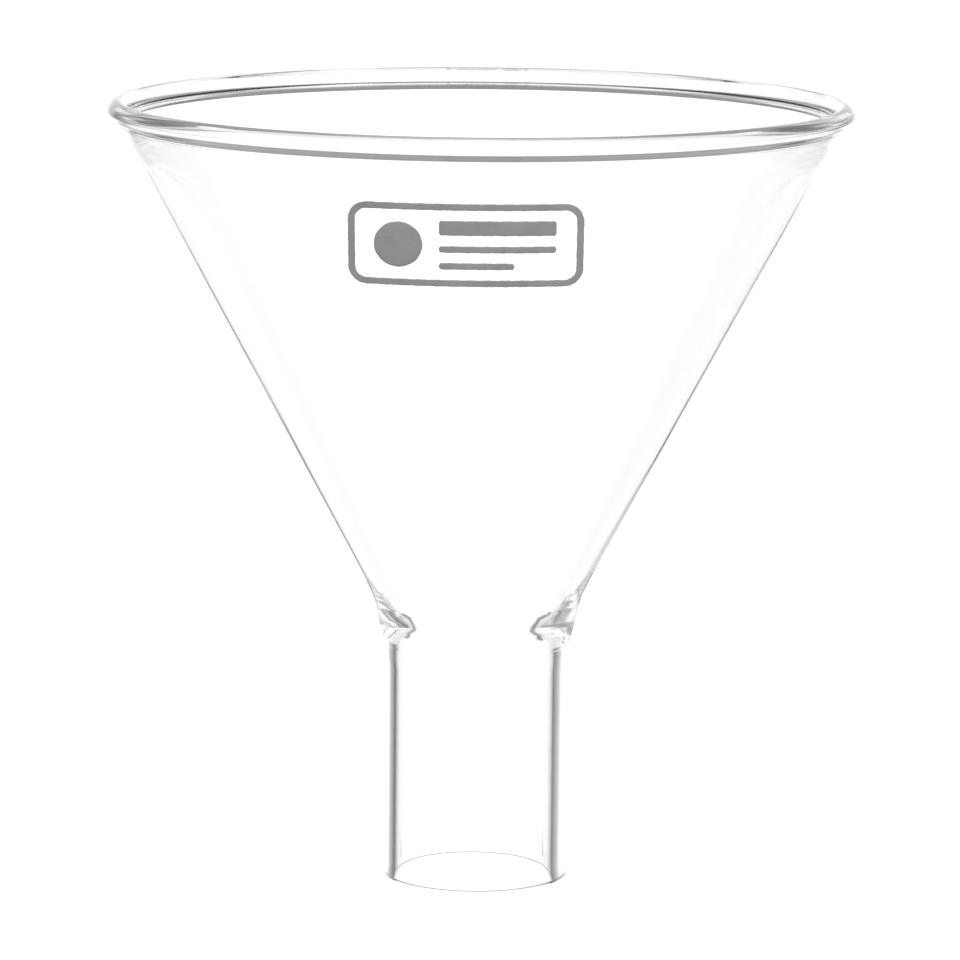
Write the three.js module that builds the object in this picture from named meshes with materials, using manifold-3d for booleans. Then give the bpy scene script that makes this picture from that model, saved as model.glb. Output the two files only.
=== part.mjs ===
// Laboratory powder funnel in clear borosilicate glass, standing on its stem.
//
// Units are millimetres, +Z is up, and the origin is the centre of the stem's
// flat lower end. The funnel is a body of revolution about Z. Its glass is made
// of four parts that the glassworker fuses in the flame: a blown cone, a
// heavy-walled stem tube, the thickened seal that joins them, and the bead
// rolled round the mouth. A grey enamel label field is fired onto the front of
// the cone, on the -Y side.
import * as THREE from "three";
import { mergeVertices } from "three/addons/utils/BufferGeometryUtils.js";
import Module from "manifold-3d";

// ---------------------------------------------------------------- dimensions
const RIM_R = 50; // outer radius of the beaded mouth, a 100 mm funnel
const HEIGHT = 106.15; // foot to the top of the bead

const STEM_R = 12.5; // outer radius of the stem, a 25 mm tube
const BORE_R = 10.7; // clear bore of the stem
const FOOT_ROUND = 0.08; // lightly fire-polished edges of the foot

const CONE_SLOPE = 0.538; // radius gained per mm of height, a 56.6 degree cone
const NECK_Z = 35.68; // height where the cone's outer line meets the stem's
const CONE_WALL = 0.66; // wall of the cone, measured level (0.58 mm square to it)

const SEAL_Z0 = 29; // the seal's lower end, on the stem
const SEAL_Z1 = 43; // the seal's upper end, on the cone
const SEAL_BLEND = 1.9; // how softly the stem's line turns into the cone's
const SEAL_BULGE = 0.35; // extra glass drawn in where the two parts are fused
const SEAL_BULGE_Z = 35.2;
const SEAL_BULGE_W = 2.2;

const BEAD_Z0 = 102.5; // the bead's lower end, on the cone's lip
const LIP_Z = 98.5; // above this height the wall thickens inward, towards the bead
const LIP_CURVE = 0.0395; // how fast it thickens, in mm per mm squared

const FUSED_GAP = 0.05; // clearance kept between two neighbouring glass parts

const SEGMENTS = 72; // facets round the axis

const LABEL_LIFT = 0.1; // enamel's clearance from the glass
const LABEL_THICK = 0.3; // enamel, with the binder it is fired in
const LABEL_X = -1.85; // middle of the label field, a little left of the axis
const LABEL_Z = 91.8;
const LABEL_W = 30;
const LABEL_H = 11.3;
const LABEL_LINE = 0.9; // width of the frame's line
const LABEL_CORNER = 2.4; // its outer corner radius
const DOT_R = 3.1; // the round spot at the left of the field
const DOT_X = -8.6; // from the middle of the field
const RULE_X0 = -3.4; // the rules start here, from the middle of the field
const RULES = [
  // [length, height, level from the middle of the field]
  [14.9, 2.0, 2.35],
  [14.9, 0.9, -0.55],
  [9.6, 0.9, -2.85],
];

// ----------------------------------------------------------------- materials
function clearGlass(name) {
  return new THREE.MeshStandardMaterial({
    name,
    color: 0xeaf1f0,
    roughness: 0.04,
    metalness: 0,
    transparent: true,
    opacity: 0.35,
  });
}

function enamel(name) {
  return new THREE.MeshStandardMaterial({ name, color: 0x949494, roughness: 0.55, metalness: 0 });
}

// -------------------------------------------------------------------- shapes
const coneOuter = (z) => STEM_R + CONE_SLOPE * (z - NECK_Z);
const coneInner = (z) => coneOuter(z) - CONE_WALL;

// The outside of the neck: the stem's cylinder turns softly into the cone, with
// a low swelling of extra glass round the joint.
function neckOuter(z) {
  const turn = CONE_SLOPE * SEAL_BLEND * Math.log(1 + Math.exp((z - NECK_Z) / SEAL_BLEND));
  const bulge = SEAL_BULGE * Math.exp(-(((z - SEAL_BULGE_Z) / SEAL_BULGE_W) ** 2));
  return STEM_R + turn + bulge;
}

// A closed profile of [radius, height] pairs, counter-clockwise, turned about Z.
function turned(profile) {
  const points = [...profile, profile[0]].map(([r, z]) => new THREE.Vector2(r, z));
  const shape = new THREE.LatheGeometry(points, SEGMENTS);
  shape.rotateX(Math.PI / 2);
  return shape;
}

// Stem: outside up, then down the bore, with both edges of the foot rounded.
const stemProfile = [
  [STEM_R - FOOT_ROUND, 0],
  [STEM_R - FOOT_ROUND * 0.293, FOOT_ROUND * 0.293],
  [STEM_R, FOOT_ROUND],
  [STEM_R, SEAL_Z0 - FUSED_GAP / 2],
  [BORE_R, SEAL_Z0 - FUSED_GAP / 2],
  [BORE_R, FOOT_ROUND],
  [BORE_R + FOOT_ROUND * 0.293, FOOT_ROUND * 0.293],
  [BORE_R + FOOT_ROUND, 0],
];

// Seal: soft outside, sharp inner corner where the bore opens into the cone.
const cornerZ = NECK_Z + (BORE_R + CONE_WALL - STEM_R) / CONE_SLOPE;
const sealLow = SEAL_Z0 + FUSED_GAP / 2;
const sealHigh = SEAL_Z1 - FUSED_GAP / 2;
const sealProfile = [[STEM_R, sealLow]];
for (const z of [30.3, 31.4, 32.4, 33.3, 34.2, 35.1, 36.0, 37.0, 38.1, 39.5, 41.1]) {
  sealProfile.push([neckOuter(z), z]);
}
sealProfile.push(
  [coneOuter(sealHigh), sealHigh],
  [coneInner(sealHigh), sealHigh],
  [coneInner(cornerZ + 1.6), cornerZ + 1.6],
  [coneInner(cornerZ + 0.6) + 0.12, cornerZ + 0.6],
  [BORE_R + 0.12, cornerZ - 0.6],
  [BORE_R, cornerZ - 1.6],
  [BORE_R, sealLow],
);

// Cone: a plain wall of even thickness from the seal up to the lip, where the
// wall thickens inward and its outside turns a little more upright.
const coneLow = SEAL_Z1 + FUSED_GAP / 2;
const coneHigh = BEAD_Z0 - FUSED_GAP / 2;
const lipInner = (z) => coneInner(z) - LIP_CURVE * Math.max(0, z - LIP_Z) ** 2;
const CONE_STEPS = 6;
const coneProfile = [];
for (let i = 0; i <= CONE_STEPS; i++) {
  const z = coneLow + ((101 - coneLow) * i) / CONE_STEPS;
  coneProfile.push([coneOuter(z), z]);
}
coneProfile.push([48.08, 102], [48.232, coneHigh], [lipInner(coneHigh), coneHigh], [lipInner(101.5), 101.5], [lipInner(100), 100]);
for (let i = CONE_STEPS; i >= 0; i--) {
  const z = coneLow + ((LIP_Z - coneLow) * i) / CONE_STEPS;
  coneProfile.push([coneInner(z), z]);
}

// Bead: a round bead with a sloping underside, and a crease where the underside
// meets the lip.
const beadLow = BEAD_Z0 + FUSED_GAP / 2;
const beadProfile = [
  [48.248, beadLow],
  [48.4, 103.04],
  [48.78, 103.34],
  [49.2, 103.62],
  [49.62, 103.95],
  [49.93, 104.45],
  [RIM_R, 104.7],
  [49.85, 105.2],
  [49.5, 105.7],
  [49.0, 106.05],
  [48.5, HEIGHT],
  [48.0, 106.0],
  [47.6, 105.6],
  [47.35, 105.0],
  [47.28, 104.3],
  [47.25, 103.6],
  [lipInner(102.9), 102.9],
  [lipInner(beadLow), beadLow],
];

const wasm = await Module();
wasm.setup();

function solid(geometry) {
  const bare = geometry.clone();
  bare.deleteAttribute("normal");
  bare.deleteAttribute("uv");
  const merged = mergeVertices(bare, 1e-5);
  return new wasm.Manifold(
    new wasm.Mesh({
      numProp: 3,
      vertProperties: Float32Array.from(merged.attributes.position.array),
      triVerts: Uint32Array.from(merged.index.array),
    }),
  );
}

function geometryOf(manifold) {
  const mesh = manifold.getMesh();
  const shape = new THREE.BufferGeometry();
  shape.setAttribute("position", new THREE.Float32BufferAttribute(mesh.vertProperties, 3));
  shape.setIndex(new THREE.Uint32BufferAttribute(mesh.triVerts, 1));
  return shape;
}

// Enamel: a thin skin that lies along the cone, cut to an outline drawn on the
// XZ plane and carried straight through the front of the skin.
const skinLow = LABEL_Z - LABEL_H / 2 - 2;
const skinHigh = LABEL_Z + LABEL_H / 2 + 2;
const skin = solid(
  turned([
    [coneOuter(skinLow) + LABEL_LIFT, skinLow],
    [coneOuter(skinLow) + LABEL_LIFT + LABEL_THICK, skinLow],
    [coneOuter(skinHigh) + LABEL_LIFT + LABEL_THICK, skinHigh],
    [coneOuter(skinHigh) + LABEL_LIFT, skinHigh],
  ]),
);

function enamelPiece(outline) {
  const block = new THREE.ExtrudeGeometry(outline, { depth: 40, bevelEnabled: false, curveSegments: 8 });
  block.rotateX(Math.PI / 2); // the outline's own Y becomes Z, and the block runs towards -Y
  block.translate(LABEL_X, -20, LABEL_Z);
  return geometryOf(skin.intersect(solid(block)));
}

function roundedRect(path, w, h, r) {
  path.moveTo(-w / 2 + r, -h / 2);
  path.lineTo(w / 2 - r, -h / 2);
  path.absarc(w / 2 - r, -h / 2 + r, r, -Math.PI / 2, 0, false);
  path.lineTo(w / 2, h / 2 - r);
  path.absarc(w / 2 - r, h / 2 - r, r, 0, Math.PI / 2, false);
  path.lineTo(-w / 2 + r, h / 2);
  path.absarc(-w / 2 + r, h / 2 - r, r, Math.PI / 2, Math.PI, false);
  path.lineTo(-w / 2, -h / 2 + r);
  path.absarc(-w / 2 + r, -h / 2 + r, r, Math.PI, Math.PI * 1.5, false);
  return path;
}

const frameOutline = roundedRect(new THREE.Shape(), LABEL_W, LABEL_H, LABEL_CORNER);
frameOutline.holes.push(
  roundedRect(
    new THREE.Path(),
    LABEL_W - 2 * LABEL_LINE,
    LABEL_H - 2 * LABEL_LINE,
    LABEL_CORNER - LABEL_LINE,
  ),
);

const dotOutline = new THREE.Shape();
dotOutline.absarc(DOT_X, 0, DOT_R, 0, Math.PI * 2, false);

const ruleOutlines = RULES.map(([length, height, level]) => {
  const rule = new THREE.Shape();
  rule.moveTo(RULE_X0, level - height / 2);
  rule.lineTo(RULE_X0 + length, level - height / 2);
  rule.lineTo(RULE_X0 + length, level + height / 2);
  rule.lineTo(RULE_X0, level + height / 2);
  rule.closePath();
  return rule;
});

// ------------------------------------------------------------------ assembly
function piece(name, geometry, material) {
  const mesh = new THREE.Mesh(geometry, material);
  mesh.name = name;
  return mesh;
}

const funnel = new THREE.Group();
funnel.name = "powder_funnel";

const glassware = new THREE.Group();
glassware.add(
  piece("stem_tube", turned(stemProfile), clearGlass("stem glass")),
  piece("neck_seal", turned(sealProfile), clearGlass("seal glass")),
  piece("cone", turned(coneProfile), clearGlass("cone glass")),
  piece("rim_bead", turned(beadProfile), clearGlass("bead glass")),
);

const label = new THREE.Group();
label.add(
  piece("label_frame", enamelPiece(frameOutline), enamel("frame enamel")),
  piece("label_dot", enamelPiece(dotOutline), enamel("dot enamel")),
  ...ruleOutlines.map((outline, i) =>
    piece(`label_rule_${i + 1}`, enamelPiece(outline), enamel(`rule ${i + 1} enamel`)),
  ),
);

funnel.add(glassware, label);

export default funnel;
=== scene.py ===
import math

import bpy
import numpy as np
from mathutils import Matrix, Vector


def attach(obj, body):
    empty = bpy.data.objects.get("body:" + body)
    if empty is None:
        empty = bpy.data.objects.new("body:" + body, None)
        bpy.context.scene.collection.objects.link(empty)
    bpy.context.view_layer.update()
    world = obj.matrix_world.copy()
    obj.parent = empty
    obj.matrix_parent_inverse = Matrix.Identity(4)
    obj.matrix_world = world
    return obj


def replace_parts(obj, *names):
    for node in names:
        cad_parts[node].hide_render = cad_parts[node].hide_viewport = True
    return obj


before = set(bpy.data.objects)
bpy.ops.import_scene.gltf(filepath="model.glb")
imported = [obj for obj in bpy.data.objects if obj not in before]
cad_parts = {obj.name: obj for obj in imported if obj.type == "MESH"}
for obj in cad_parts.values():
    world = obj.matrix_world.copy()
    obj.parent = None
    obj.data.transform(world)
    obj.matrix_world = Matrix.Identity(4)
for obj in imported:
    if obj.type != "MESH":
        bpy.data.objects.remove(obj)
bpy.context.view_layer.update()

MM = 0.001

# ------------------------------------------------------------------ sizes, mm
STEM_R, BORE_R = 12.5, 10.7
SLOPE, NECK_Z, WALL = 0.538, 35.68, 0.66
SEAL_Z0, SEAL_Z1 = 29.0, 43.0
BEAD_Z0 = 102.5
BULGE = 0.35
AROUND = 384  # quads round the axis


def cone_outer(z):
    return STEM_R + SLOPE * (z - NECK_Z)


def cone_inner(z):
    return cone_outer(z) - WALL


def smooth(a, b, x):
    t = min(1.0, max(0.0, (x - a) / (b - a)))
    return t * t * (3 - 2 * t)


def neck_outer(z):
    """The stem's line turns softly into the cone's, with a low swelling, and meets both exactly at the seams."""
    turn = SLOPE * 1.9 * math.log(1 + math.exp((z - NECK_Z) / 1.9))
    full = STEM_R + turn + BULGE * math.exp(-(((z - 35.2) / 2.2) ** 2))
    plain = max(STEM_R, cone_outer(z))
    return plain + (full - plain) * smooth(SEAL_Z0, SEAL_Z0 + 2.5, z) * (1 - smooth(SEAL_Z1 - 3.5, SEAL_Z1, z))


def spline(points, step=0.12):
    """A centripetal Catmull-Rom curve through [r, z] points, cut into steps of about `step` mm."""
    p = np.array(points, float)
    p = np.vstack([2 * p[0] - p[1], p, 2 * p[-1] - p[-2]])
    out = []
    for i in range(1, len(p) - 2):
        p0, p1, p2, p3 = p[i - 1], p[i], p[i + 1], p[i + 2]
        t = [0.0]
        for a, b in ((p0, p1), (p1, p2), (p2, p3)):
            t.append(t[-1] + max(np.linalg.norm(b - a), 1e-6) ** 0.5)
        n = max(2, int(math.ceil(np.linalg.norm(p2 - p1) / step)))
        for k in range(n):
            u = t[1] + (t[2] - t[1]) * k / n
            a1 = (t[1] - u) / (t[1] - t[0]) * p0 + (u - t[0]) / (t[1] - t[0]) * p1
            a2 = (t[2] - u) / (t[2] - t[1]) * p1 + (u - t[1]) / (t[2] - t[1]) * p2
            a3 = (t[3] - u) / (t[3] - t[2]) * p2 + (u - t[2]) / (t[3] - t[2]) * p3
            b1 = (t[2] - u) / (t[2] - t[0]) * a1 + (u - t[0]) / (t[2] - t[0]) * a2
            b2 = (t[3] - u) / (t[3] - t[1]) * a2 + (u - t[1]) / (t[3] - t[1]) * a3
            out.append((t[2] - u) / (t[2] - t[1]) * b1 + (u - t[1]) / (t[2] - t[1]) * b2)
    out.append(p[-2])
    return [tuple(q) for q in out]


def line(a, b, n):
    return [(a[0] + (b[0] - a[0]) * k / n, a[1] + (b[1] - a[1]) * k / n) for k in range(n + 1)]


def arc(cx, cz, r, a0, a1, n):
    return [(cx + r * math.cos(math.radians(a0 + (a1 - a0) * k / n)), cz + r * math.sin(math.radians(a0 + (a1 - a0) * k / n))) for k in range(n + 1)]


def joined(*runs):
    out = []
    for run in runs:
        for q in run:
            if not out or math.hypot(q[0] - out[-1][0], q[1] - out[-1][1]) > 1e-4:
                out.append(q)
    return out


# ------------------------------------------------------------------ the glass
# Each part's skin is an outside run, going up, and an inside run, coming down. Two neighbours meet at a level seam.
FOOT = 0.03
stem_out = joined(
    [(BORE_R + FOOT, 0.0), (STEM_R - FOOT, 0.0)],
    arc(STEM_R - FOOT, FOOT, FOOT, -90, 0, 8),
    line((STEM_R, FOOT), (STEM_R, SEAL_Z0), 24),
)
stem_in = joined(
    line((BORE_R, SEAL_Z0), (BORE_R, FOOT), 24),
    arc(BORE_R + FOOT, FOOT, FOOT, 180, 270, 8),
)
seal_out = joined([(STEM_R, SEAL_Z0)], [(neck_outer(z), z) for z in np.arange(SEAL_Z0 + 0.1, SEAL_Z1 - 0.05, 0.08)], [(cone_outer(SEAL_Z1), SEAL_Z1)])
CORNER_Z = NECK_Z + (BORE_R + WALL - STEM_R) / SLOPE
seal_in = joined(
    line((cone_inner(SEAL_Z1), SEAL_Z1), (cone_inner(CORNER_Z + 1.6), CORNER_Z + 1.6), 16),
    spline([(cone_inner(CORNER_Z + 1.6), CORNER_Z + 1.6), (cone_inner(CORNER_Z + 0.6) + 0.12, CORNER_Z + 0.6), (BORE_R + 0.12, CORNER_Z - 0.6), (BORE_R, CORNER_Z - 1.6)], 0.06),
    line((BORE_R, CORNER_Z - 1.6), (BORE_R, SEAL_Z0), 8),
)
LIP_Z = 98.5  # above it the wall thickens inward, towards the bead


def lip_inner(z):
    """The inside starts along the cone and turns slowly upright."""
    t = max(0.0, z - LIP_Z)
    return cone_inner(z) - 0.0395 * t * t


# The outside of the lip, from the plain cone up to the crease under the bead.
lip_out = spline([(cone_outer(101.0), 101.0), (47.88, 101.5), (48.08, 102.0), (48.24, BEAD_Z0), (48.36, 102.95), (48.4, 103.04)], 0.1)
cone_out = joined(line((cone_outer(SEAL_Z1), SEAL_Z1), (cone_outer(101.0), 101.0), 58), [q for q in lip_out if q[1] < BEAD_Z0 + 1e-6])
cone_in = joined([(lip_inner(z), z) for z in np.arange(BEAD_Z0, LIP_Z + 0.1, -0.2)], line((cone_inner(LIP_Z), LIP_Z), (cone_inner(SEAL_Z1), SEAL_Z1), 56))
bead = joined(
    [q for q in lip_out if q[1] > BEAD_Z0 - 1e-6],
    spline(
        [
            (48.4, 103.04),
            (48.46, 103.1),
            (48.78, 103.34),
            (49.2, 103.62),
            (49.62, 103.95),
            (49.93, 104.45),
            (50.0, 104.7),
            (49.85, 105.2),
            (49.5, 105.7),
            (49.0, 106.05),
            (48.5, 106.15),
            (48.0, 106.0),
            (47.6, 105.6),
            (47.35, 105.0),
            (47.28, 104.3),
            (47.25, 103.6),
            (lip_inner(102.9), 102.9),
            (lip_inner(BEAD_Z0), BEAD_Z0),
        ],
        0.1,
    ),
)


def wander(phi, z):
    """How far, in mm, the hand-worked glass stands off a true body of revolution. It is nothing at the foot and on the stem."""
    share = np.clip((z - 44.0) / 30.0, 0, 1)
    return share * (0.05 * np.cos(2 * phi + 0.6) + 0.03 * np.cos(3 * phi + 2.1) + 0.012 * np.cos(7 * phi + 0.3) * np.sin(z / 9.0))


def aside(r, z):
    """How far, in mm, the bore stands off the axis in X. It is drawn a little to the left in the stem, and fades out up the cone."""
    wall = max(0.1, neck_outer(z) - max(BORE_R, cone_inner(z)))
    return -0.2 * min(1.0, max(0.0, (neck_outer(z) - r) / wall)) * (1 - smooth(30.0, 60.0, z))


def lean(phi, z):
    """How far, in mm, the rim stands above or below a level plane: it is a little low in front."""
    return 0.12 * np.clip((z - 44.0) / 50.0, 0, 1) * np.sin(phi)


def revolve(name, skin, seams):
    """A closed solid turned about Z. skin is a list of open runs of [r, z] that together go once round the section, and each gap between two runs is closed by a level seam face."""
    phi = np.linspace(0, 2 * math.pi, AROUND, endpoint=False)
    ring = joined(*skin)
    if math.hypot(ring[0][0] - ring[-1][0], ring[0][1] - ring[-1][1]) < 1e-4:
        ring = ring[:-1]
    m = len(ring)
    verts = []
    for r, z in ring:
        d = wander(phi, z)
        verts.append(np.stack([(r + d) * np.cos(phi) + aside(r, z), (r + d) * np.sin(phi), z + lean(phi, z)], -1))
    verts = np.concatenate(verts) * MM
    faces, seam_faces = [], []
    for i in range(m):
        j = (i + 1) % m
        level = any(abs(ring[i][1] - s) < 1e-6 and abs(ring[j][1] - s) < 1e-6 for s in seams)
        for k in range(AROUND):
            l = (k + 1) % AROUND
            faces.append((i * AROUND + k, i * AROUND + l, j * AROUND + l, j * AROUND + k))
            seam_faces.append(level)
    mesh = bpy.data.meshes.new(name)
    mesh.from_pydata(verts.tolist(), [], faces)
    mesh.polygons.foreach_set("material_index", [1 if s else 0 for s in seam_faces])
    mesh.polygons.foreach_set("use_smooth", [True] * len(faces))
    # The seam's two edge loops are sharp, so the skin's shading runs on over the joint.
    sharp = set()
    for f, s in zip(faces, seam_faces):
        if s:
            a, b, c, d = f
            sharp.update((frozenset((a, b)), frozenset((c, d))))
    attr = mesh.attributes.new("sharp_edge", "BOOLEAN", "EDGE")
    attr.data.foreach_set("value", [frozenset(e.vertices) in sharp for e in mesh.edges])
    mesh.update()
    mesh.validate()
    o = bpy.data.objects.new(name, mesh)
    bpy.context.scene.collection.objects.link(o)
    return o


stem = revolve("stem_glass", (stem_out, stem_in), (SEAL_Z0,))
seal = revolve("seal_glass", (seal_out, seal_in), (SEAL_Z0, SEAL_Z1))
cone = revolve("cone_glass", (cone_out, cone_in), (SEAL_Z1, BEAD_Z0))
rim = revolve("bead_glass", (bead,), (BEAD_Z0,))


# ------------------------------------------------------------------ materials
def material(name):
    m = bpy.data.materials.new(name)
    m.use_nodes = True
    nt = m.node_tree
    return m, nt, nt.nodes["Principled BSDF"]


def node(nt, kind, **values):
    n = nt.nodes.new(kind)
    for key, value in values.items():
        setattr(n, key, value)
    return n


def glass_material(name, density):
    """Clear glass. With a density, light that runs a long way inside it comes out darker."""
    m, nt, p = material(name)
    p.inputs["Base Color"].default_value = (1, 1, 1, 1)
    p.inputs["IOR"].default_value = 1.473
    p.inputs["Transmission Weight"].default_value = 1.0
    p.inputs["Roughness"].default_value = 0.0
    where = node(nt, "ShaderNodeTexCoord")
    wave = node(nt, "ShaderNodeTexNoise")
    wave.inputs["Scale"].default_value = 60.0
    wave.inputs["Detail"].default_value = 1.0
    nt.links.new(where.outputs["Object"], wave.inputs["Vector"])
    bump = node(nt, "ShaderNodeBump")
    bump.inputs["Strength"].default_value = 0.03
    bump.inputs["Distance"].default_value = 0.001
    nt.links.new(wave.outputs["Fac"], bump.inputs["Height"])
    nt.links.new(bump.outputs["Normal"], p.inputs["Normal"])
    if density:
        depth = node(nt, "ShaderNodeVolumeAbsorption")
        depth.inputs["Color"].default_value = (0, 0, 0, 1)
        depth.inputs["Density"].default_value = density
        nt.links.new(depth.outputs["Volume"], nt.nodes["Material Output"].inputs["Volume"])
    return m


def seam_material():
    """The joint inside the fused glass, where light goes straight on."""
    m, nt, p = material("fused_joint")
    p.inputs["Base Color"].default_value = (1, 1, 1, 1)
    p.inputs["Alpha"].default_value = 0.0
    return m


TUBE_GLASS, BLOWN_GLASS, JOINT = glass_material("tube_glass", 0.0), glass_material("blown_glass", 16.0), seam_material()
for o, nodes, glass in ((stem, ["stem_tube"], TUBE_GLASS), (seal, ["neck_seal"], TUBE_GLASS), (cone, ["cone"], TUBE_GLASS), (rim, ["rim_bead"], BLOWN_GLASS)):
    o.data.materials.append(glass)
    o.data.materials.append(JOINT)
    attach(o, "root")
    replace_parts(o, *nodes)


def enamel_material():
    m, nt, p = material("grey_enamel")
    where = node(nt, "ShaderNodeTexCoord")
    grain = node(nt, "ShaderNodeTexNoise")
    grain.inputs["Scale"].default_value = 2600.0
    grain.inputs["Detail"].default_value = 3.0
    nt.links.new(where.outputs["Object"], grain.inputs["Vector"])
    cloud = node(nt, "ShaderNodeTexNoise")
    cloud.inputs["Scale"].default_value = 260.0
    cloud.inputs["Detail"].default_value = 2.0
    nt.links.new(where.outputs["Object"], cloud.inputs["Vector"])
    both = node(nt, "ShaderNodeMath", operation="MULTIPLY_ADD")
    nt.links.new(grain.outputs["Fac"], both.inputs[0])
    both.inputs[1].default_value = 0.6
    nt.links.new(cloud.outputs["Fac"], both.inputs[2])
    ramp = node(nt, "ShaderNodeValToRGB")
    ramp.color_ramp.elements[0].position = 0.5
    ramp.color_ramp.elements[0].color = (0.222, 0.222, 0.222, 1)
    ramp.color_ramp.elements[1].position = 1.1
    ramp.color_ramp.elements[1].color = (0.268, 0.268, 0.268, 1)
    nt.links.new(both.outputs[0], ramp.inputs["Fac"])
    nt.links.new(ramp.outputs["Color"], p.inputs["Base Color"])
    rough = node(nt, "ShaderNodeMapRange")
    rough.inputs["To Min"].default_value = 0.42
    rough.inputs["To Max"].default_value = 0.62
    nt.links.new(cloud.outputs["Fac"], rough.inputs["Value"])
    nt.links.new(rough.outputs["Result"], p.inputs["Roughness"])
    bump = node(nt, "ShaderNodeBump")
    bump.inputs["Strength"].default_value = 0.25
    bump.inputs["Distance"].default_value = 0.00002
    nt.links.new(grain.outputs["Fac"], bump.inputs["Height"])
    nt.links.new(bump.outputs["Normal"], p.inputs["Normal"])
    return m


# ----------------------------------------------------------- the enamel label
LABEL_X, LABEL_Z, LABEL_W, LABEL_H = -1.85, 91.8, 30.0, 11.3
LINE_W, CORNER = 0.9, 2.4
ENAMEL = enamel_material()
FILM, LIFT = 0.06, 0.004  # the film's thickness, and its clearance from the glass


def on_cone(x, z, off):
    """The point of the cone's outside straight behind (x, z) on the front view, moved `off` mm out along the surface's normal."""
    r = cone_outer(z)
    a = math.asin(max(-1.0, min(1.0, x / r)))
    phi = a - math.pi / 2
    r += float(wander(np.array(phi), z))
    n = 1 / math.hypot(1, SLOPE)
    return ((r + off * n) * math.cos(phi) * MM, (r + off * n) * math.sin(phi) * MM, (z + float(lean(phi, z)) - off * SLOPE * n) * MM)


def film(name, rows, closed):
    """A closed film on the cone from a grid of (x, z, height share) rows. With closed, the rows run round a ring."""
    nr, nc = len(rows), len(rows[0])
    verts = [on_cone(LABEL_X + x, LABEL_Z + z, LIFT + FILM * h) for row in rows for x, z, h in row]
    verts += [on_cone(LABEL_X + x, LABEL_Z + z, LIFT) for row in rows for x, z, h in row]
    base = nr * nc
    faces = []
    for i in range(nr if closed else nr - 1):
        j = (i + 1) % nr
        for k in range(nc - 1):
            faces.append((i * nc + k, i * nc + k + 1, j * nc + k + 1, j * nc + k))
            faces.append((base + i * nc + k, base + j * nc + k, base + j * nc + k + 1, base + i * nc + k + 1))
        faces.append((i * nc, j * nc, base + j * nc, base + i * nc))
        faces.append((i * nc + nc - 1, base + i * nc + nc - 1, base + j * nc + nc - 1, j * nc + nc - 1))
    if not closed:
        for k in range(nc - 1):
            faces.append((k, base + k, base + k + 1, k + 1))
            e = (nr - 1) * nc
            faces.append((e + k, e + k + 1, base + e + k + 1, base + e + k))
    mesh = bpy.data.meshes.new(name)
    mesh.from_pydata(verts, [], faces)
    import bmesh
    bm = bmesh.new()
    bm.from_mesh(mesh)
    bmesh.ops.remove_doubles(bm, verts=bm.verts, dist=2e-7)
    bmesh.ops.recalc_face_normals(bm, faces=bm.faces)
    bm.to_mesh(mesh)
    bm.free()
    for p in mesh.polygons:
        p.use_smooth = True
    mesh.materials.append(ENAMEL)
    o = bpy.data.objects.new(name, mesh)
    bpy.context.scene.collection.objects.link(o)
    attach(o, "root")
    return o


ACROSS = [-1, -0.96, -0.88, -0.7, -0.35, 0, 0.35, 0.7, 0.88, 0.96, 1]


def edge_height(v):
    """The film's height share across a stroke, rounded at the edge."""
    return 0.35 + 0.65 * (1 - abs(v) ** 6) ** 0.5 if abs(v) < 1 else 0.35


def fray(s, seed):
    """A printed edge wanders by a few hundredths of a millimetre."""
    return 0.018 * math.sin(s * 2.9 + seed) + 0.012 * math.sin(s * 7.1 + 2.3 * seed) + 0.008 * math.sin(s * 17.3 + 1.7 * seed)


def rounded_path(w, h, r, step=0.25):
    pts = []
    def seg(x0, z0, x1, z1, nx, nz):
        n = max(1, int(math.hypot(x1 - x0, z1 - z0) / step))
        for k in range(n):
            pts.append((x0 + (x1 - x0) * k / n, z0 + (z1 - z0) * k / n, nx, nz))
    def corner(cx, cz, a0):
        n = 14
        for k in range(n):
            a = math.radians(a0 + 90 * k / n)
            pts.append((cx + r * math.cos(a), cz + r * math.sin(a), math.cos(a), math.sin(a)))
    seg(-w / 2 + r, -h / 2, w / 2 - r, -h / 2, 0, -1)
    corner(w / 2 - r, -h / 2 + r, -90)
    seg(w / 2, -h / 2 + r, w / 2, h / 2 - r, 1, 0)
    corner(w / 2 - r, h / 2 - r, 0)
    seg(w / 2 - r, h / 2, -w / 2 + r, h / 2, 0, 1)
    corner(-w / 2 + r, h / 2 - r, 90)
    seg(-w / 2, h / 2 - r, -w / 2, -h / 2 + r, -1, 0)
    corner(-w / 2 + r, -h / 2 + r, 180)
    return pts


rows = []
for i, (x, z, nx, nz) in enumerate(rounded_path(LABEL_W - LINE_W, LABEL_H - LINE_W, CORNER - LINE_W / 2)):
    row = []
    for v in ACROSS:
        off = v * LINE_W / 2 + (fray(i * 0.25, 1.0 if v > 0 else 4.0) if abs(v) > 0.8 else 0)
        row.append((x + nx * off, z + nz * off, edge_height(v)))
    rows.append(row)
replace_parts(film("enamel_frame", rows, True), "label_frame")

DOT_X, DOT_R = -8.6, 3.1
rows = []
for i in range(96):
    a = 2 * math.pi * i / 96
    row = []
    for k in range(15):
        t = k / 14
        t = 0.02 + 0.98 * t ** 0.7
        rr = DOT_R * t + (fray(a * DOT_R, 2.0) if t > 0.95 else 0)
        row.append((DOT_X + rr * math.cos(a), rr * math.sin(a), edge_height(t)))
    rows.append(row)
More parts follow.
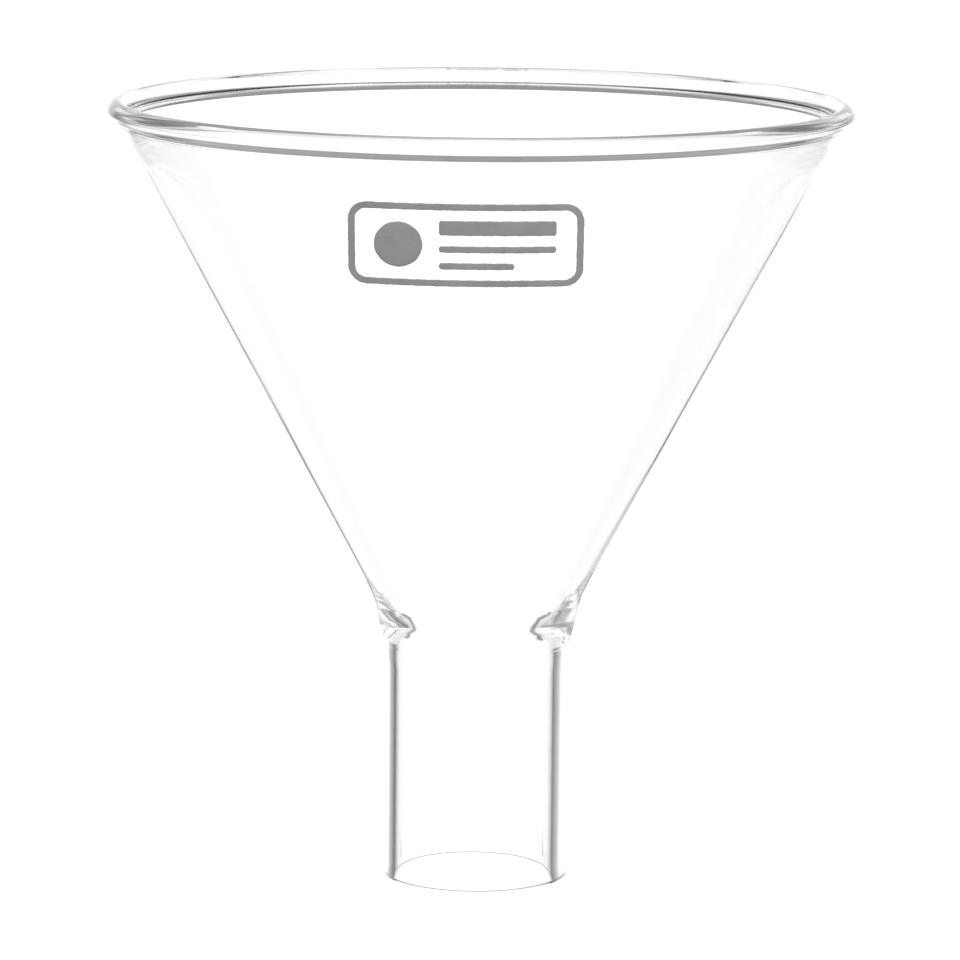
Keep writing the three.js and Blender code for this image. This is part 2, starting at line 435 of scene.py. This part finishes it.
# The middle of the spot is one small fan-free ring, closed by its own centre point.
def spot(name, rows):
    nr, nc = len(rows), len(rows[0])
    verts = [on_cone(LABEL_X + x, LABEL_Z + z, LIFT + FILM * h) for row in rows for x, z, h in row]
    verts += [on_cone(LABEL_X + x, LABEL_Z + z, LIFT) for row in rows for x, z, h in row]
    base = nr * nc
    top, low = len(verts), len(verts) + 1
    verts += [on_cone(LABEL_X + DOT_X, LABEL_Z, LIFT + FILM), on_cone(LABEL_X + DOT_X, LABEL_Z, LIFT)]
    faces = []
    for i in range(nr):
        j = (i + 1) % nr
        for k in range(nc - 1):
            faces.append((i * nc + k, i * nc + k + 1, j * nc + k + 1, j * nc + k))
            faces.append((base + i * nc + k, base + j * nc + k, base + j * nc + k + 1, base + i * nc + k + 1))
        faces.append((i * nc + nc - 1, base + i * nc + nc - 1, base + j * nc + nc - 1, j * nc + nc - 1))
        faces.append((top, i * nc, j * nc))
        faces.append((low, base + j * nc, base + i * nc))
    mesh = bpy.data.meshes.new(name)
    mesh.from_pydata(verts, [], faces)
    import bmesh
    bm = bmesh.new()
    bm.from_mesh(mesh)
    bmesh.ops.recalc_face_normals(bm, faces=bm.faces)
    bm.to_mesh(mesh)
    bm.free()
    for p in mesh.polygons:
        p.use_smooth = True
    mesh.materials.append(ENAMEL)
    o = bpy.data.objects.new(name, mesh)
    bpy.context.scene.collection.objects.link(o)
    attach(o, "root")
    return o


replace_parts(spot("enamel_spot", rows), "label_dot")

RULE_X0 = -3.4
for n, (length, height, level) in enumerate([(14.9, 2.0, 2.35), (14.9, 0.9, -0.55), (9.6, 0.9, -2.85)]):
    rows = []
    r = 0.3
    steps = max(20, int(length / 0.2))
    for i in range(steps + 1):
        x = RULE_X0 + length * i / steps
        into = min(x - RULE_X0, RULE_X0 + length - x)
        half = height / 2
        if into < r:
            half -= r - math.sqrt(max(0.0, r * r - (r - into) ** 2))
        ends = edge_height(1 - min(1.0, into / 0.25))
        row = []
        for v in ACROSS:
            off = v * half + (fray(x, 3.0 + n + (2 if v > 0 else 0)) if abs(v) > 0.8 else 0)
            row.append((x, level + off, min(edge_height(v), ends)))
        rows.append(row)
    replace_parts(film(f"enamel_rule_{n + 1}", rows, False), f"label_rule_{n + 1}")


# ---------------------------------------------------------------- the studio
scene = bpy.context.scene
scene.view_settings.view_transform = "Standard"
scene.view_settings.look = "None"
scene.render.film_transparent = False


def glow(name, strength):
    m = bpy.data.materials.new(name)
    m.use_nodes = True
    nt = m.node_tree
    nt.nodes.clear()
    e = nt.nodes.new("ShaderNodeEmission")
    e.inputs["Strength"].default_value = strength
    o = nt.nodes.new("ShaderNodeOutputMaterial")
    nt.links.new(e.outputs[0], o.inputs["Surface"])
    return m


# A pale floor that runs up into a pale wall, all round.
section = [(0.0, -0.0002), (3.0, -0.0002)] + [(3.0 + 0.5 * math.sin(math.radians(a)), 0.4998 - 0.5 * math.cos(math.radians(a))) for a in range(10, 100, 10)] + [(3.5, 3.0)]
verts, faces = [], []
for r, z in section:
    for k in range(64):
        a = 2 * math.pi * k / 64
        verts.append((r * math.cos(a), r * math.sin(a), z))
for i in range(len(section) - 1):
    for k in range(64):
        l = (k + 1) % 64
        faces.append((i * 64 + k, i * 64 + l, (i + 1) * 64 + l, (i + 1) * 64 + k))
floor_mesh = bpy.data.meshes.new("floor")
floor_mesh.from_pydata(verts, [], faces)
floor = bpy.data.objects.new("floor", floor_mesh)
scene.collection.objects.link(floor)
floor_mesh.materials.append(glow("floor_white", 1.02))
floor.visible_diffuse = False
floor.visible_glossy = False
floor.visible_transmission = False
floor.visible_shadow = False


# The light that the glass and the enamel see: pale screens in a grey room.
world = bpy.data.worlds.new("studio")
scene.world = world
world.use_nodes = True
nt = world.node_tree
nt.nodes.clear()
coord = nt.nodes.new("ShaderNodeTexCoord")


def screen(azimuth, elevation, stops):
    """A soft round screen in the direction given: its brightness by the angle from its middle, in degrees."""
    a, e = math.radians(azimuth), math.radians(elevation)
    dot = nt.nodes.new("ShaderNodeVectorMath")
    dot.operation = "DOT_PRODUCT"
    nt.links.new(coord.outputs["Generated"], dot.inputs[0])
    dot.inputs[1].default_value = (math.cos(a) * math.cos(e), math.sin(a) * math.cos(e), math.sin(e))
    ang = nt.nodes.new("ShaderNodeMath")
    ang.operation = "ARCCOSINE"
    nt.links.new(dot.outputs["Value"], ang.inputs[0])
    unit = nt.nodes.new("ShaderNodeMath")
    unit.operation = "DIVIDE"
    unit.inputs[1].default_value = math.pi
    nt.links.new(ang.outputs[0], unit.inputs[0])
    ramp = nt.nodes.new("ShaderNodeValToRGB")
    cr = ramp.color_ramp
    while len(cr.elements) < len(stops):
        cr.elements.new(0.5)
    for el, (deg, level) in zip(cr.elements, stops):
        el.position = deg / 180
        el.color = (level / 2, level / 2, level / 2, 1)
    nt.links.new(unit.outputs[0], ramp.inputs["Fac"])
    return ramp.outputs["Color"]


def lightest(a, b):
    mix = nt.nodes.new("ShaderNodeMix")
    mix.data_type = "RGBA"
    mix.blend_type = "LIGHTEN"
    mix.inputs["Factor"].default_value = 1.0
    nt.links.new(a, mix.inputs["A"])
    nt.links.new(b, mix.inputs["B"])
    return mix.outputs["Result"]


def darkest(a, b):
    mix = nt.nodes.new("ShaderNodeMix")
    mix.data_type = "RGBA"
    mix.blend_type = "DARKEN"
    mix.inputs["Factor"].default_value = 1.0
    nt.links.new(a, mix.inputs["A"])
    nt.links.new(b, mix.inputs["B"])
    return mix.outputs["Result"]


def math_node(op, a, b=None, clamp=False):
    n = nt.nodes.new("ShaderNodeMath")
    n.operation = op
    n.use_clamp = clamp
    for i, v in enumerate((a, b)):
        if v is None:
            continue
        if isinstance(v, (int, float)):
            n.inputs[i].default_value = v
        else:
            nt.links.new(v, n.inputs[i])
    return n.outputs[0]


def levels(value, stops):
    """A soft curve of brightness over a value from 0 to 1."""
    ramp = nt.nodes.new("ShaderNodeValToRGB")
    cr = ramp.color_ramp
    while len(cr.elements) < len(stops):
        cr.elements.new(0.5)
    for el, (at, level) in zip(cr.elements, stops):
        el.position = at
        el.color = (level / 2, level / 2, level / 2, 1)
    nt.links.new(value, ramp.inputs["Fac"])
    return ramp.outputs["Color"]


parts = nt.nodes.new("ShaderNodeSeparateXYZ")
nt.links.new(coord.outputs["Generated"], parts.inputs[0])
# Where a ray goes: turn is 0.5 straight behind the funnel, 0.75 to its right and 0.25 to its left, and rise is 0.5 level, 1 straight up.
turn = math_node("ADD", math_node("DIVIDE", math_node("ARCTAN2", parts.outputs["X"], parts.outputs["Y"]), 2 * math.pi), 0.5)
rise = math_node("ADD", math_node("DIVIDE", math_node("ARCSINE", parts.outputs["Z"]), math.pi), 0.5)


def round_about(stops):
    """Brightness by the angle from straight behind, in degrees, positive to the right."""
    return levels(turn, [(0.5 + deg / 360, level) for deg, level in stops])


def up_down(stops):
    """Brightness by the height above the horizon, in degrees."""
    return levels(rise, [(0.5 + deg / 180, level) for deg, level in stops])


def between(low, high):
    """A share that goes from 0 to 1 as a ray rises from low to high degrees."""
    n = nt.nodes.new("ShaderNodeMapRange")
    n.interpolation_type = "SMOOTHSTEP"
    n.inputs["From Min"].default_value = 0.5 + low / 180
    n.inputs["From Max"].default_value = 0.5 + high / 180
    nt.links.new(rise, n.inputs["Value"])
    return n.outputs["Result"]


def blend(a, b, share):
    n = nt.nodes.new("ShaderNodeMix")
    n.data_type = "RGBA"
    nt.links.new(share, n.inputs["Factor"])
    nt.links.new(a, n.inputs["A"])
    nt.links.new(b, n.inputs["B"])
    return n.outputs["Result"]


# A white wall behind and in front, with a grey flag at each side, over a white floor and under a grey ceiling.
WHITE = 1.25
belt = round_about([(-180, 1.15), (-105, 1.05), (-90, 0.7), (-75, 0.38), (-60, 0.25), (-50, 0.2), (-43, 0.18), (-35, 0.4), (-27, 0.6), (-24, 1.15), (-15, WHITE), (18, WHITE), (26, 1.15), (31, 0.8), (37, 0.5), (46, 0.28), (54, 0.18), (70, 0.2), (80, 0.45), (90, 0.65), (105, 0.95), (120, 1.15), (180, 1.15)])
ceiling = round_about([(-180, 1.1), (-105, 0.9), (-80, 0.3), (-40, 0.2), (-15, 0.28), (15, 0.28), (40, 0.18), (80, 0.3), (105, 0.9), (180, 1.1)])
near_floor = round_about([(-180, 0.6), (-110, 0.4), (-60, 0.35), (-50, 0.8), (-35, 0.88), (-21, 0.88), (-19, 0.2), (-15.5, 0.2), (-13.5, WHITE), (13.5, WHITE), (15.5, 0.2), (19, 0.2), (21, 0.88), (35, 0.88), (50, 0.8), (60, 0.35), (110, 0.4), (180, 0.6)])
far_floor = round_about([(-180, 0.6), (-110, 0.4), (-60, 0.4), (-30, 1.0), (0, 1.1), (30, 1.0), (60, 0.4), (110, 0.4), (180, 0.6)])
light = blend(up_down([(-90, 0.68), (-70, 0.68)]), far_floor, between(-80, -60))
light = blend(light, near_floor, between(-36, -28))
light = blend(light, belt, between(-17, -13.5))
light = blend(light, ceiling, between(12, 20))
light = blend(light, up_down([(30, 0.28), (90, 0.28)]), between(28, 60))
for az, el, wide in ((180, -4, 10), (-45, -15, 9), (0, -4, 8), (270, -4, 10)):
    light = lightest(light, screen(az, el, [(0, WHITE), (wide, WHITE), (wide + 4, 0.0), (180, 0.0)]))
for az in (107.5, 72.5):
    light = darkest(light, screen(az, -14.9, [(0, 0.15), (1.0, 0.15), (2.0, 2.0), (180, 2.0)]))
bg = nt.nodes.new("ShaderNodeBackground")
bg.inputs["Strength"].default_value = 2.0
nt.links.new(light, bg.inputs["Color"])
out = nt.nodes.new("ShaderNodeOutputWorld")
nt.links.new(bg.outputs[0], out.inputs["Surface"])

# Soft light on the enamel. It isn't mirrored in the glass.
for name, where, size, power in (("key", (-0.5, -0.9, 0.9), 0.6, 9.0), ("fill", (0.7, -0.6, 0.5), 0.6, 5.0)):
    lamp = bpy.data.lights.new(name, "AREA")
    lamp.shape = "DISK"
    lamp.size = size
    lamp.energy = power
    o = bpy.data.objects.new(name, lamp)
    o.location = where
    o.rotation_euler = (Vector((0, 0, 0.08)) - Vector(where)).to_track_quat("-Z", "Y").to_euler()
    o.visible_glossy = False
    o.visible_transmission = False
    o.visible_camera = False
    scene.collection.objects.link(o)

scene.cycles.max_bounces = 256
scene.cycles.transmission_bounces = 256
scene.cycles.glossy_bounces = 256
scene.cycles.transparent_max_bounces = 256
scene.cycles.caustics_reflective = True
scene.cycles.caustics_refractive = True
scene.cycles.blur_glossy = 0.0
scene.cycles.sample_clamp_indirect = 0.0

# ---------------------------------------------------------------- the camera
DIST, HIGH, PITCH, YAW, ROLL, FOCAL = 700.0, 172.31, 9.5551, 0.0194, 0.493, 5228.7
pitch, yaw, roll = math.radians(PITCH), math.radians(YAW), math.radians(ROLL)
fwd = Vector((math.sin(yaw) * math.cos(pitch), math.cos(yaw) * math.cos(pitch), -math.sin(pitch)))
right = fwd.cross(Vector((0, 0, 1))).normalized()
up = right.cross(fwd)
right2 = math.cos(roll) * right + math.sin(roll) * up
up2 = -math.sin(roll) * right + math.cos(roll) * up
cam = bpy.data.cameras.new("camera")
cam.sensor_width = 36
cam.lens = FOCAL / 960 * 36
cam.clip_start = 0.01
cam.clip_end = 50
eye = bpy.data.objects.new("camera", cam)
rot = Matrix((right2, up2, -fwd)).transposed()
eye.matrix_world = Matrix.Translation((0, -DIST * MM, HIGH * MM)) @ rot.to_4x4()
scene.collection.objects.link(eye)
scene.camera = eye
